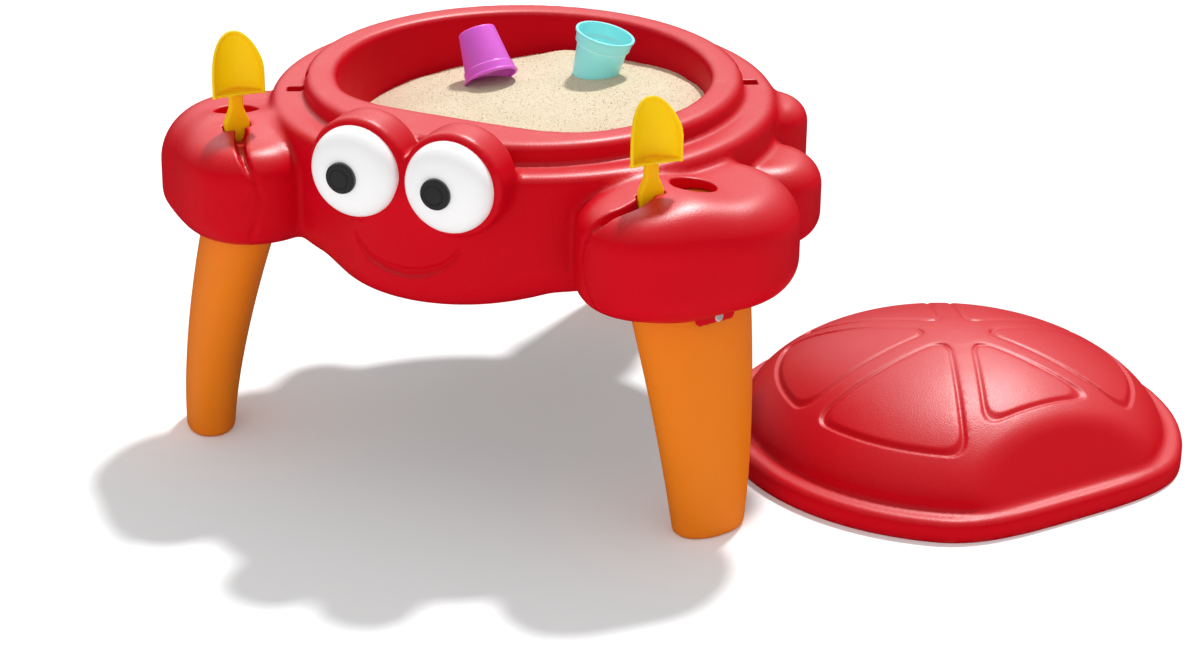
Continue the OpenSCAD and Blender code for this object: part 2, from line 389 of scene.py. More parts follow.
def makeSandDust():
    # a few grains and a pale film left on faces that look up
    group, given, out = groupShell("sandDust", [
        ("Amount", "NodeSocketFloat", 0.5), ("Grain Scale", "NodeSocketFloat", 420.0)], [
        ("Dust", "NodeSocketFloat")])
    where = addNode(group, "ShaderNodeTexCoord").outputs["Object"]
    shape = addNode(group, "ShaderNodeNewGeometry")
    up = addNode(group, "ShaderNodeSeparateXYZ", {0: shape.outputs["Normal"]})
    level = addNode(group, "ShaderNodeMapRange", {
        "Value": up.outputs["Z"], "From Min": 0.6, "From Max": 0.95})
    cloud = addNode(group, "ShaderNodeTexNoise", {
        "Vector": where, "Scale": 14.0, "Detail": 5.0, "Roughness": 0.65})
    speck = addNode(group, "ShaderNodeTexNoise", {
        "Vector": where, "Scale": given.outputs["Grain Scale"], "Detail": 2.0, "Roughness": 0.8})
    some = addNode(group, "ShaderNodeMapRange", {
        "Value": cloud.outputs["Fac"], "From Min": 0.5, "From Max": 0.75})
    fine = addNode(group, "ShaderNodeMapRange", {
        "Value": speck.outputs["Fac"], "From Min": 0.52, "From Max": 0.66})
    both = addNode(group, "ShaderNodeMath", {0: some.outputs[0], 1: fine.outputs[0]}, operation="MULTIPLY")
    lying = addNode(group, "ShaderNodeMath", {
        0: both.outputs[0], 1: level.outputs[0]}, operation="MULTIPLY")
    scaled = addNode(group, "ShaderNodeMath", {
        0: lying.outputs[0], 1: given.outputs["Amount"]}, operation="MULTIPLY", use_clamp=True)
    group.links.new(scaled.outputs[0], out.inputs["Dust"])
    return group


mouldedSkin = makeMouldedSkin()
sandDust = makeSandDust()


def newMaterial(name):
    material = bpy.data.materials.new(name)
    material.use_nodes = True
    tree = material.node_tree
    shader = tree.nodes["Principled BSDF"]
    return material, tree, shader


def mixColour(tree, factor, a, b):
    node = addNode(tree, "ShaderNodeMix", {}, data_type="RGBA")
    for socket, value in ((node.inputs[0], factor), (node.inputs[6], a), (node.inputs[7], b)):
        if isinstance(value, bpy.types.NodeSocket):
            tree.links.new(value, socket)
        else:
            socket.default_value = value
    return node.outputs[2]


# what the plastics share, unless a look says otherwise
commonLook = {"roughness": 0.32, "grainScale": 900.0, "grainDepth": 0.2, "bump": 0.2, "wear": 0.4,
              "dust": 0.0, "bounce": None, "sheen": None, "specular": 0.5, "glow": 0.0}


def moulded(name, ownLook):
    look = {**commonLook, **ownLook}
    material, tree, shader = newMaterial(name)
    skin = addNode(tree, "ShaderNodeGroup", node_tree=mouldedSkin)
    skin.inputs["Grain Scale"].default_value = look["grainScale"]
    skin.inputs["Grain Depth"].default_value = look["grainDepth"]
    skin.inputs["Wear"].default_value = look["wear"]
    tone = mixColour(tree, skin.outputs["Patch"], look["colour"] + (1,), look["shade"] + (1,))
    rubbed = mixColour(tree, skin.outputs["Wear Mask"], tone, look["rubbed"] + (1,))
    if look["dust"]:
        dust = addNode(tree, "ShaderNodeGroup", node_tree=sandDust)
        dust.inputs["Amount"].default_value = look["dust"]
        rubbed = mixColour(tree, dust.outputs["Dust"], rubbed, (0.78, 0.66, 0.47, 1))
    if look["bounce"]:
        # light that this surface throws far, on the floor, is kept nearly grey
        rays = addNode(tree, "ShaderNodeLightPath")
        far = addNode(tree, "ShaderNodeMapRange", {
            "Value": rays.outputs["Ray Length"], "From Min": 0.14, "From Max": 0.26})
        thrown = addNode(tree, "ShaderNodeMath", {
            0: far.outputs[0], 1: rays.outputs["Is Diffuse Ray"]}, operation="MULTIPLY")
        rubbed = mixColour(tree, thrown.outputs[0], rubbed, look["bounce"] + (1,))
    tree.links.new(rubbed, shader.inputs["Base Color"])
    rough = addNode(tree, "ShaderNodeMapRange", {
        "Value": skin.outputs["Patch"], "From Min": 0.3, "From Max": 0.7,
        "To Min": look["roughness"] - 0.04, "To Max": look["roughness"] + 0.05})
    tree.links.new(rough.outputs[0], shader.inputs["Roughness"])
    bump = addNode(tree, "ShaderNodeBump", {
        "Height": skin.outputs["Height"], "Strength": look["bump"], "Distance": 0.0006})
    tree.links.new(bump.outputs[0], shader.inputs["Normal"])
    shader.inputs["Specular IOR Level"].default_value = look["specular"]
    if look["sheen"]:
        # upright faces hardly shine, faces that look up do
        shape = addNode(tree, "ShaderNodeNewGeometry")
        up = addNode(tree, "ShaderNodeSeparateXYZ", {0: shape.outputs["Normal"]})
        shine = addNode(tree, "ShaderNodeMapRange", {
            "Value": up.outputs["Z"], "From Min": 0.4, "From Max": 0.92,
            "To Min": look["sheen"][0], "To Max": look["sheen"][1]})
        tree.links.new(shine.outputs[0], shader.inputs["Specular IOR Level"])
    if look["glow"]:
        # thin walls let light through
        shader.inputs["Subsurface Weight"].default_value = look["glow"]
        shader.inputs["Subsurface Radius"].default_value = (1.0, 0.9, 0.8)
        shader.inputs["Subsurface Scale"].default_value = 0.01
    return material


looks = {
    "redPlastic": {
        "colour": (0.64, 0.0018, 0.011), "shade": (0.58, 0.0012, 0.009), "rubbed": (0.80, 0.07, 0.07),
        "bounce": (0.20, 0.12, 0.12), "sheen": (0.05, 0.68), "roughness": 0.40,
        "grainScale": 430.0, "grainDepth": 0.8, "bump": 0.5, "wear": 0.5, "dust": 0.3},
    "coverRed": {
        "colour": (0.64, 0.0018, 0.010), "shade": (0.57, 0.0012, 0.008), "rubbed": (0.80, 0.08, 0.08),
        "bounce": (0.20, 0.12, 0.12), "sheen": (0.04, 0.62), "roughness": 0.42,
        "grainScale": 540.0, "grainDepth": 1.0, "bump": 0.55, "wear": 0.6},
    "orangePlastic": {
        "colour": (0.93, 0.24, 0.008), "shade": (0.87, 0.20, 0.006), "rubbed": (0.85, 0.38, 0.14),
        "bounce": (0.30, 0.22, 0.16), "sheen": (0.15, 0.5), "roughness": 0.44,
        "grainScale": 620.0, "grainDepth": 0.4, "bump": 0.3, "wear": 0.5},
    "yellowPlastic": {
        "colour": (0.95, 0.57, 0.004), "shade": (0.92, 0.52, 0.002), "rubbed": (0.92, 0.68, 0.14),
        "sheen": (0.12, 0.5), "glow": 0.7, "roughness": 0.34, "grainDepth": 0.25, "dust": 0.3},
    "bluePlastic": {
        "colour": (0.33, 0.98, 1.0), "shade": (0.27, 0.95, 1.0), "rubbed": (0.55, 0.86, 0.9), "glow": 0.3},
    "purplePlastic": {
        "colour": (0.86, 0.15, 0.80), "shade": (0.80, 0.12, 0.73), "rubbed": (0.75, 0.3, 0.72), "glow": 0.35},
    "eyeWhite": {
        "colour": (0.97, 0.96, 0.96), "shade": (0.95, 0.94, 0.94), "rubbed": (0.98, 0.98, 0.98),
        "roughness": 0.3, "grainScale": 800.0, "grainDepth": 0.15, "bump": 0.15, "wear": 0.2},
    "pupilBlack": {
        "colour": (0.028, 0.028, 0.029), "shade": (0.038, 0.038, 0.039), "rubbed": (0.12, 0.12, 0.12),
        "specular": 0.8, "roughness": 0.24, "wear": 0.5},
}
materials = {name: moulded(name, look) for name, look in looks.items()}


def makeSand():
    material, tree, shader = newMaterial("playSand")
    where = addNode(tree, "ShaderNodeTexCoord").outputs["Object"]
    grain = addNode(tree, "ShaderNodeTexVoronoi", {"Vector": where, "Scale": 780.0})
    medium = addNode(tree, "ShaderNodeTexNoise", {
        "Vector": where, "Scale": 260.0, "Detail": 4.0, "Roughness": 0.75})
    broad = addNode(tree, "ShaderNodeTexNoise", {"Vector": where, "Scale": 16.0, "Detail": 3.0})
    pale = mixColour(tree, broad.outputs["Fac"], (0.86, 0.73, 0.52, 1), (0.78, 0.63, 0.41, 1))
    light = addNode(tree, "ShaderNodeMapRange", {
        "Value": medium.outputs["Fac"], "From Min": 0.35, "From Max": 0.7})
    spread = mixColour(tree, light.outputs[0], pale, (0.92, 0.83, 0.64, 1))
    dark = addNode(tree, "ShaderNodeMapRange", {
        "Value": grain.outputs["Color"], "From Min": 0.82, "From Max": 0.98})
    spotted = mixColour(tree, dark.outputs[0], spread, (0.52, 0.36, 0.20, 1))
    tree.links.new(spotted, shader.inputs["Base Color"])
    shader.inputs["Roughness"].default_value = 0.85
    shader.inputs["Specular IOR Level"].default_value = 0.25
    height = addNode(tree, "ShaderNodeMath", {
        0: grain.outputs["Distance"], 1: medium.outputs["Fac"]}, operation="ADD")
    bump = addNode(tree, "ShaderNodeBump", {
        "Height": height.outputs[0], "Strength": 0.75, "Distance": 0.0016})
    tree.links.new(bump.outputs[0], shader.inputs["Normal"])
    return material


def makeScrewSteel():
    material, tree, shader = newMaterial("screwSteel")
    where = addNode(tree, "ShaderNodeTexCoord").outputs["Object"]
    brushed = addNode(tree, "ShaderNodeTexNoise", {"Vector": where, "Scale": 1400.0, "Detail": 4.0})
    tone = mixColour(tree, brushed.outputs["Fac"], (0.88, 0.88, 0.89, 1), (0.74, 0.74, 0.75, 1))
    tree.links.new(tone, shader.inputs["Base Color"])
    rough = addNode(tree, "ShaderNodeMapRange", {
        "Value": brushed.outputs["Fac"], "To Min": 0.2, "To Max": 0.42})
    tree.links.new(rough.outputs[0], shader.inputs["Roughness"])
    bump = addNode(tree, "ShaderNodeBump", {
        "Height": brushed.outputs["Fac"], "Strength": 0.2, "Distance": 0.0002})
    tree.links.new(bump.outputs[0], shader.inputs["Normal"])
    shader.inputs["Metallic"].default_value = 0.4
    return material


materials["playSand"] = makeSand()
materials["screwSteel"] = makeScrewSteel()
print("materials ready")


# camera, light and floor

cameraView = {
    "place": (1.49572, -3.25370, 1.69655),
    "right": (0.917634, 0.397224, 0.012715),
    "up": (-0.170835, 0.365360, 0.915056),
    "back": (0.358837, -0.841858, 0.403126),
    "lens": 89.534,
}

cameraData = bpy.data.cameras.new("studioCamera")
cameraData.lens = cameraView["lens"]
cameraData.sensor_width = 36.0
cameraData.clip_end = 50.0
camera = bpy.data.objects.new("studioCamera", cameraData)
bpy.context.scene.collection.objects.link(camera)
axes = Matrix((cameraView["right"], cameraView["up"], cameraView["back"])).transposed().to_4x4()
camera.matrix_world = Matrix.Translation(cameraView["place"]) @ axes
bpy.context.scene.camera = camera

studio = {
    "sunTowards": (0.0, -0.56, -1.0),
    "sunStrength": 2.75,
    "sunAngle": 5.0,
    "skyStrength": 0.56,
    "panelStrength": 2.5,
    "fillPower": 15.0,
    "fillSize": 2.4,
    "fillPlace": (0.2, -3.2, 1.5),
    "fillTarget": (0.1, 0, 0.3),
    "floorColour": (0.93, 0.93, 0.93, 1),
    "floorGlow": 0.1,
    "floorHalf": 30.0,
}

sunData = bpy.data.lights.new("highSun", "SUN")
sunData.energy = studio["sunStrength"]
sunData.angle = math.radians(studio["sunAngle"])
sun = bpy.data.objects.new("highSun", sunData)
sun.rotation_euler = Vector(studio["sunTowards"]).to_track_quat("-Z", "Y").to_euler()
bpy.context.scene.collection.objects.link(sun)

fillData = bpy.data.lights.new("frontFill", "AREA")
fillData.energy = studio["fillPower"]
fillData.size = studio["fillSize"]
fill = bpy.data.objects.new("frontFill", fillData)
fill.location = studio["fillPlace"]
fillTowards = Vector(studio["fillTarget"]) - fill.location
fill.rotation_euler = fillTowards.to_track_quat("-Z", "Y").to_euler()
fill.visible_glossy = False
bpy.context.scene.collection.objects.link(fill)

world = bpy.data.worlds.new("paleStudio")
bpy.context.scene.world = world
world.use_nodes = True
# each ray looks the sky up for itself, because gloss has a sky of its own
world.cycles.sampling_method = "NONE"
sky = world.node_tree
skyLight = sky.nodes["Background"]
skyLight.inputs["Color"].default_value = (1, 1, 1, 1)
skyLight.inputs["Strength"].default_value = studio["skyStrength"]
seen = addNode(sky, "ShaderNodeBackground", {"Color": (1, 1, 1, 1), "Strength": 1.0})
rays = addNode(sky, "ShaderNodeLightPath")
# gloss sees a broad bright panel high behind the table, and little in front
direction = addNode(sky, "ShaderNodeTexCoord").outputs["Generated"]
towards = addNode(sky, "ShaderNodeSeparateXYZ", {0: direction})
high = addNode(sky, "ShaderNodeMapRange", {
    "Value": towards.outputs["Z"], "From Min": 0.05, "From Max": 0.5})
behind = addNode(sky, "ShaderNodeMapRange", {
    "Value": towards.outputs["Y"], "From Min": -0.15, "From Max": 0.75, "To Min": 0.02})
leftwards = addNode(sky, "ShaderNodeMapRange", {
    "Value": towards.outputs["X"], "From Min": -0.65, "From Max": 0.0, "To Min": 1.0, "To Max": 0.3})
wide = addNode(sky, "ShaderNodeMath", {0: high.outputs[0], 1: behind.outputs[0]}, operation="MULTIPLY")
panel = addNode(sky, "ShaderNodeMath", {0: wide.outputs[0], 1: leftwards.outputs[0]}, operation="MULTIPLY")
panelStrength = addNode(sky, "ShaderNodeMath", {
    0: panel.outputs[0], 1: studio["panelStrength"]}, operation="MULTIPLY")
glossSky = addNode(sky, "ShaderNodeBackground", {
    "Color": (1, 1, 1, 1), "Strength": panelStrength.outputs[0]})
glossMix = addNode(sky, "ShaderNodeMixShader", {
    0: rays.outputs["Is Glossy Ray"], 1: skyLight.outputs[0], 2: glossSky.outputs[0]})
either = addNode(sky, "ShaderNodeMath", {
    0: rays.outputs["Is Camera Ray"], 1: rays.outputs["Is Transmission Ray"]}, operation="MAXIMUM")
skyMix = addNode(sky, "ShaderNodeMixShader", {
    0: either.outputs[0], 1: glossMix.outputs[0], 2: seen.outputs[0]})
sky.links.new(skyMix.outputs[0], sky.nodes["World Output"].inputs["Surface"])

floorMesh = bpy.data.meshes.new("studioFloor")
bm = bmesh.new()
bmesh.ops.create_grid(bm, x_segments=8, y_segments=8, size=studio["floorHalf"])
bm.to_mesh(floorMesh)
bm.free()
floor = bpy.data.objects.new("studioFloor", floorMesh)
bpy.context.scene.collection.objects.link(floor)
floorMaterial, floorTree, floorShader = newMaterial("paleFloor")
floorShader.inputs["Base Color"].default_value = studio["floorColour"]
floorShader.inputs["Roughness"].default_value = 0.9
floorShader.inputs["Specular IOR Level"].default_value = 0.1
glow = addNode(floorTree, "ShaderNodeEmission", {"Color": (1, 1, 1, 1), "Strength": studio["floorGlow"]})
floorRays = addNode(floorTree, "ShaderNodeLightPath")
dark = addNode(floorTree, "ShaderNodeEmission", {"Strength": 0.0})
glowSeen = addNode(floorTree, "ShaderNodeMixShader", {
    0: floorRays.outputs["Is Camera Ray"], 1: dark.outputs[0], 2: glow.outputs[0]})
floorSum = addNode(floorTree, "ShaderNodeAddShader", {0: floorShader.outputs[0], 1: glowSeen.outputs[0]})
floorTree.links.new(floorSum.outputs[0], floorTree.nodes["Material Output"].inputs["Surface"])
floorMesh.materials.append(floorMaterial)
# gloss sees the dark lower half of the sky instead of the floor
floor.visible_glossy = False

bpy.context.scene.view_settings.view_transform = "Standard"
print("camera, light and floor set")


# body: one smooth moulding with lobes, basin, sockets, holes and grooves

table = {
    "belly": 284, "rimTop": 470, "faceY": -343, "faceRadius": 172,
    "basinRadius": 237, "basinFront": 194, "basinFloor": 354, "basinDraft": 0.10,
    "eyeX": 61.6, "eyeZ": 440, "eyeSeatY": -339,
    "legAngle": 32, "socketDistance": 363, "spigotRadius": 40.4, "spigotTop": 415.2, "rearSpigotTop": 396.2,
    "holeRadius": 27.5, "clawUnder": 292, "clawTop": 427, "clawShift": 5.5,
    "slot": (276, -247), "slotTurn": 48, "slotHalf": (17, 7.5), "slotDepth": 70, "slotAbove": 60,
    "latchAngles": (-154, 30), "latchDistance": 286, "latchHeight": 457, "latchHalf": (13, 9, 27),
    "lugDistance": 54.5, "lugShift": -4, "lugHeight": 292, "lugHalf": (3.4, 28, 17), "lugCorner": 9,
    "cell": 6.0,
}
# round blocks: middle x, middle y, radius, low, high, rounding below, rounding above
blocks = {
    "ledge": (0, 0, 320, table["belly"], 445, 44, 14),
    "face": (0, table["faceY"] + table["faceRadius"], table["faceRadius"], table["belly"] - 12, 437, 44, 20),
    "rim": (0, 0, 277, 385, table["rimTop"], 14, 13),
    "rearLobe": (0, 348, 90, table["clawUnder"], 404, 40, 40),
    "backLobe": (272, 130, 60, table["clawUnder"] + 2, 431, 29, 29),
    "eyeBulge": (table["eyeX"], -table["eyeZ"], 64, 277, -table["eyeSeatY"], 22, 8),
}
# blocks that differ between the crab's two sides: the one at -x, then the one at +x
pairs = {
    "claw": ((304, -166, 118, table["clawUnder"] + 3, table["clawTop"], 31, 66),
             (304, -166, 118, table["clawUnder"], table["clawTop"], 45, 52)),
    "pincer": ((264, -250, 82, table["clawUnder"] + 7, table["clawTop"] - 3, 38, 40),
               (264, -250, 82, table["clawUnder"] + 2, table["clawTop"] - 3, 38, 40)),
    "sideLobe": ((305, 20, 68, table["clawUnder"] + 8, 399, 36, 37),
                 (315, 20, 76, table["clawUnder"], 399, 36, 37)),
}
# how widely each block melts into the rest
melt = {"face": 12, "rim": 7, "rearLobe": 14, "pincer": 44, "claw": 9, "sideLobe": 10, "backLobe": 10,
        "eyeBulge": 9, "basin": 9, "basinWall": 40, "basinFloor": 30, "socket": 1.5, "hole": 4, "slot": 3,
        "latch": 2, "groove": 4, "smile": 2.2}

# points of (x, y, z, radius), for the claw on either side
pincerGroove = [(270, -256, 427, 7.6), (263, -272, 427.5, 7.2), (252, -291, 424, 6.2), (238, -308, 416, 5.5),
                (224, -317, 404, 4.5), (214, -319, 389, 3.6), (209, -316, 366, 3.4), (214, -321, 343, 3.6),
                (222, -322, 320, 6), (226, -318, 298, 9)]
pincerDepth = [(271, -257, 420, 6.8), (262, -274, 420, 6), (250, -291, 417, 4.8), (237, -305, 410, 3.4)]
# points of (x, z, radius) along the smile, which lies just inside the face
smileLine = [(-71, 357, 2.4), (-63, 344, 4.0), (-47, 332, 5.4), (-24, 325, 6.4), (0, 322.5, 6.8),
             (24, 325, 6.4), (46, 333, 5.4), (61, 345, 4.0), (68, 356, 2.4)]


def onFace(x):
    return table["faceY"] + table["faceRadius"] - math.sqrt(table["faceRadius"] ** 2 - x * x)


smileArc = [(x, onFace(x) - 0.12 * r, z, r) for x, z, r in smileLine]


def legAxis(x, y, angle):
    # place along and across the spoke at that angle, from the middle of its socket
    a = math.radians(angle)
    along = x * math.cos(a) + y * math.sin(a) - table["socketDistance"]
    across = -x * math.sin(a) + y * math.cos(a)
    return along, across


def sidedPuck(name, x, y, z, left):
    minus, plus = pairs[name]
    return puck(x, y, z, *(np.where(left, m, p) for m, p in zip(minus, plus)))


def bodyForm(x, y, z):
    side = np.abs(x)
    left = x < 0
    claw = np.abs(x - table["clawShift"])
    d = puck(x, y, z, *blocks["ledge"])
    for name in ("face", "rim"):
        d = blendMin(d, puck(x, y, z, *blocks[name]), melt[name])
    d = blendMin(d, puck(side, y, z, *blocks["rearLobe"]), melt["rearLobe"])
    pincer = sidedPuck("pincer", claw, y, z, left)
    wholeClaw = blendMin(sidedPuck("claw", claw, y, z, left), pincer, melt["pincer"])
    d = blendMin(d, wholeClaw, melt["claw"])
    d = blendMin(d, sidedPuck("sideLobe", side, y, z, left), melt["sideLobe"])
    d = blendMin(d, puck(side, y, z, *blocks["backLobe"]), melt["backLobe"])
    # the eye bulges are blocks laid on their backs
    return blendMin(d, puck(side, -z, -y, *blocks["eyeBulge"]), melt["eyeBulge"])


def basinField(x, y, z):
    t = table
    draft = (t["rimTop"] - z) * t["basinDraft"]
    back = np.hypot(x, y) - t["basinRadius"] + draft
    front = -(y + t["basinFront"]) + draft
    outline = blendMax(back, front, melt["basinWall"])
    return blendMax(outline, t["basinFloor"] - z, melt["basinFloor"])


def socketField(x, y, z):
    t = table
    sockets = ((t["legAngle"] - 180, t["spigotTop"]), (-t["legAngle"], t["spigotTop"]),
               (90, t["rearSpigotTop"]))
    return nearest(np.maximum(np.hypot(*legAxis(x, y, angle)) - t["spigotRadius"], z - top)
                   for angle, top in sockets)


def holeField(x, y, z):
    t = table
    around = np.hypot(*legAxis(np.abs(x), y, -t["legAngle"])) - t["holeRadius"]
    return np.maximum(around, t["spigotTop"] - 4 - z)


def slotField(x, y, z):
    t = table
    a = math.radians(t["slotTurn"])
    dx, dy = np.where(x > 0, x - t["slot"][0], x + t["slot"][0]), y - t["slot"][1]
    u = dx * math.cos(a) + dy * math.sin(a)
    v = -dx * math.sin(a) + dy * math.cos(a)
    half = (t["slotDepth"] + t["slotAbove"]) / 2
    middle = t["clawTop"] - t["slotDepth"] + half
    return boxField(u, v, z - middle, t["slotHalf"] + (half,), 3)


def latchField(x, y, z):
    boxes = []
    for angle in table["latchAngles"]:
        a = math.radians(angle)
        along = x * math.cos(a) + y * math.sin(a) - table["latchDistance"]
        across = -x * math.sin(a) + y * math.cos(a)
        boxes.append(boxField(along, across, z - table["latchHeight"], table["latchHalf"], 2))
    return nearest(boxes)


def lugField(x, y, z):
    t = table
    thick, wide, high = t["lugHalf"]
    plates = []
    for angle in (t["legAngle"] - 180, -t["legAngle"], 90):
        along, across = legAxis(x, y, angle)
        sideways = np.maximum(np.abs(across - t["lugShift"]) - wide + t["lugCorner"], 0)
        upwards = np.maximum(np.abs(z - t["lugHeight"]) - high + t["lugCorner"], 0)
        outline = np.hypot(sideways, upwards) - t["lugCorner"]
        plates.append(blendMax(outline, np.abs(along - t["lugDistance"]) - thick, 3))
    return nearest(plates)


def grooveField(x, y, z):
    claw = np.abs(x - table["clawShift"])
    return blendMin(pathField(claw, y, z, pincerGroove), pathField(claw, y, z, pincerDepth), melt["groove"])


def smileField(x, y, z):
    return pathField(x, y, z, smileArc)


def coarseBody(x, y, z):
    d = bodyForm(x, y, z)
    for name, cut in (("basin", basinField), ("socket", socketField), ("hole", holeField),
                      ("slot", slotField), ("latch", latchField), ("groove", grooveField)):
        d = blendMax(d, -cut(x, y, z), melt[name])
    return d


def fineBody(x, y, z):
    return blendMax(coarseBody(x, y, z), -smileField(x, y, z), melt["smile"])


def bodyDetail(x, y, z):
    # how near a point is to something small
    small = (grooveField, smileField, latchField, slotField, holeField)
    return nearest(np.abs(field(x, y, z)) for field in small)


crabBody = skinPiece("crabBody", coarseBody, fineBody, (-436, -356, 262), (436, 450, 516), table["cell"],
                     [(bodyDetail, 9), (bodyDetail, 5)])
print("body", len(crabBody.data.polygons))
dress(crabBody, materials["redPlastic"], "table", ("crab_body",))


# eyes

eyes = {"radius": 56, "depth": 30, "look": 4.5, "pupilRadius": 19.2}


def eyeFrame(side):
    # local z points out of the face
    rows = np.array([(1, 0, 0), (0, 0, 1), (0, -1, 0)], float)
    return (side * table["eyeX"], table["eyeSeatY"], table["eyeZ"]), rows


def whiteProfile():
    radius, depth = eyes["radius"], eyes["depth"]
    squareness = 0.86
    outline = [(0, -3), (9, -3), (radius - 2.5, -3), (radius - 0.8, -2.4), (radius, -1), (radius, 1)]
    for degrees in np.linspace(4, 76, 24):
        a = math.radians(degrees)
        outline.append((radius * math.cos(a) ** squareness, 1 + (depth - 1) * math.sin(a) ** squareness))
    return outline + [(13, depth - 0.6), (6, depth - 0.2), (0, depth - 0.1)]


def pupilProfile():
    # a stepped button: outer ring, narrow groove, domed middle
    r = eyes["pupilRadius"]
    return roundedProfile([
        (0, 23, 0), (r, 23, 0.4), (r, 33.0, 2.6), (r - 3.0, 35.4, 1.6), (r - 6.6, 36.2, 0.8),
        (r - 7.2, 35.2, 0.5), (r - 8.0, 35.4, 0.6), (r - 9.0, 37.4, 1.6), (0, 38.6, 0)], 4)


for side, name in ((-1, "Left"), (1, "Right")):
    origin, rows = eyeFrame(side)
    points, faces = lathe(whiteProfile(), 128)
    white = objectFromArrays("eyeWhite" + name, placed(points, origin, rows), faces)
    recalcOutward(white)
    dress(white, materials["eyeWhite"], "table", ("eye_white_" + name.lower(),))
    points, faces = lathe(pupilProfile(), 96)
    points[:, 0] -= eyes["look"]
    pupil = objectFromArrays("pupil" + name, placed(points, origin, rows), faces)
    recalcOutward(pupil)
    dress(pupil, materials["pupilBlack"], "table", ("pupil_" + name.lower(),))
print("eyes")


# legs: an oval loft from a rounded foot to the shoulder, with a round spigot on top

leg = {"footDistance": 411, "shoulder": 291.7, "foot": (31, 47), "spread": (16, 35), "ovalPower": 0.9,
       "spigot": 40.0, "frontTop": 414.6, "rearTop": 395.6, "around": 96, "rows": 56}


def legSection(u):
    # half sizes along and across the spoke, and how far out the middle is, from foot (0) to shoulder (1)
    radial = leg["foot"][0] + leg["spread"][0] * u
    across = leg["foot"][1] + leg["spread"][1] * u ** 0.9
    shift = (leg["footDistance"] - table["socketDistance"]) * (1 - u ** 1.6)
    return radial, across, shift


def legPoints(top):
    shoulder, spigot, power = leg["shoulder"], leg["spigot"], leg["ovalPower"]
    # rings of (height, inset) up the oval leg, then of (radius, height) up the round spigot
    ovals = [(0.9, 16), (0.0, 13), (0.0, 7), (0.8, 2.6), (2.6, 0.8), (5.5, 0)]
    ovals += [(z, 0) for z in np.linspace(10, shoulder - 5, leg["rows"])]
    ovals += [(shoulder - 2, 0.5), (shoulder - 0.5, 1.8), (shoulder, 4)]
    rounds = [(spigot + 1.5, shoulder + 0.2), (spigot, shoulder + 2), (spigot - 0.4, top - 3),
              (spigot - 1.2, top - 1), (spigot - 3.5, top), (spigot - 14, top), (spigot - 28, top - 0.6)]
    angles = np.linspace(0, 2 * math.pi, leg["around"], endpoint=False)
    c, s = np.cos(angles), np.sin(angles)
    points = []
    for z, inset in ovals:
        radial, across, shift = legSection(min(max(z / table["belly"], 0), 1.02))
        px = shift + (radial - inset) * np.sign(c) * np.abs(c) ** power
        py = (across - inset) * np.sign(s) * np.abs(s) ** power
        points.append(np.stack([px, py, np.full_like(px, z)], 1))
    for r, z in rounds:
        points.append(np.stack([r * c, r * s, np.full_like(c, z)], 1))
    return points


def buildLeg(name, node, angle, top):
    rings = legPoints(top)
    n = leg["around"]
    points = np.concatenate(rings)
    faces = []
    for k in range(len(rings) - 1):
        for i in range(n):
            j = (i + 1) % n
            faces.append((k * n + i, k * n + j, (k + 1) * n + j, (k + 1) * n + i))
    shift = legSection(0)[2]
    points = np.vstack([points, (shift, 0, 1.4), (0, 0, top - 0.6)])
    sole, crown = len(points) - 2, len(points) - 1
    last = (len(rings) - 1) * n
    for i in range(n):
        j = (i + 1) % n
        faces.append((sole, j, i))
        faces.append((crown, last + i, last + j))
    points[:, 0] += table["socketDistance"]
    piece = objectFromArrays(name, placed(points, (0, 0, 0), spunAxes(angle)), faces)
    recalcOutward(piece)
    dress(piece, materials["orangePlastic"], "table", (node,))


buildLeg("legFrontLeft", "leg_front_left", table["legAngle"] - 180, leg["frontTop"])
buildLeg("legFrontRight", "leg_front_right", -table["legAngle"], leg["frontTop"])
buildLeg("legRear", "leg_rear", 90, leg["rearTop"])
print("legs")


# sand: an uneven mound with loose grains on it

sandBed = {"radius": 232, "domeRadius": 900, "domeTop": 437, "domeAt": (70, 60), "seed": 7, "lumps": 130,
           "around": 300, "outward": 110, "grains": 2600, "grainSize": 0.0009}


def basinReach(angle, z):
    # distance from the middle to the basin's wall in a direction, at a height
    draft = (table["rimTop"] - z) * table["basinDraft"]
    r = table["basinRadius"] - draft
    front = table["basinFront"] - draft
    s = -np.sin(angle)
    return np.where(s * r > front, front / np.maximum(s, 1e-6), r)


# lumps of (x, y, width, rise): small ones at random, larger ones listed
rng = np.random.default_rng(sandBed["seed"])
lumps = [(rng.uniform(-220, 220), rng.uniform(-190, 220), rng.uniform(9, 34), rng.uniform(-1.6, 1.9))
         for _ in range(sandBed["lumps"])]
bigLumps = [(-32, 200, 26, 9.0), (60, 205, 30, -3.0), (-150, 60, 60, 3.0), (120, 60, 50, 3.0),
            (20, 60, 45, -3.5), (-60, -90, 70, 3.0), (90, -120, 60, -2.0), (-190, -60, 40, -3.0),
            (40, 100, 30, 4.0)]


def sandHeight(x, y):
    ax, ay = sandBed["domeAt"]
    top = sandBed["domeTop"] - sandBed["domeRadius"]
    h = top + np.sqrt(sandBed["domeRadius"] ** 2 - (x - ax) ** 2 - (y - ay) ** 2)
    for cx, cy, width, rise in bigLumps + lumps:
        h = h + rise * np.exp(-((x - cx) ** 2 + (y - cy) ** 2) / (2 * width * width))
    return h


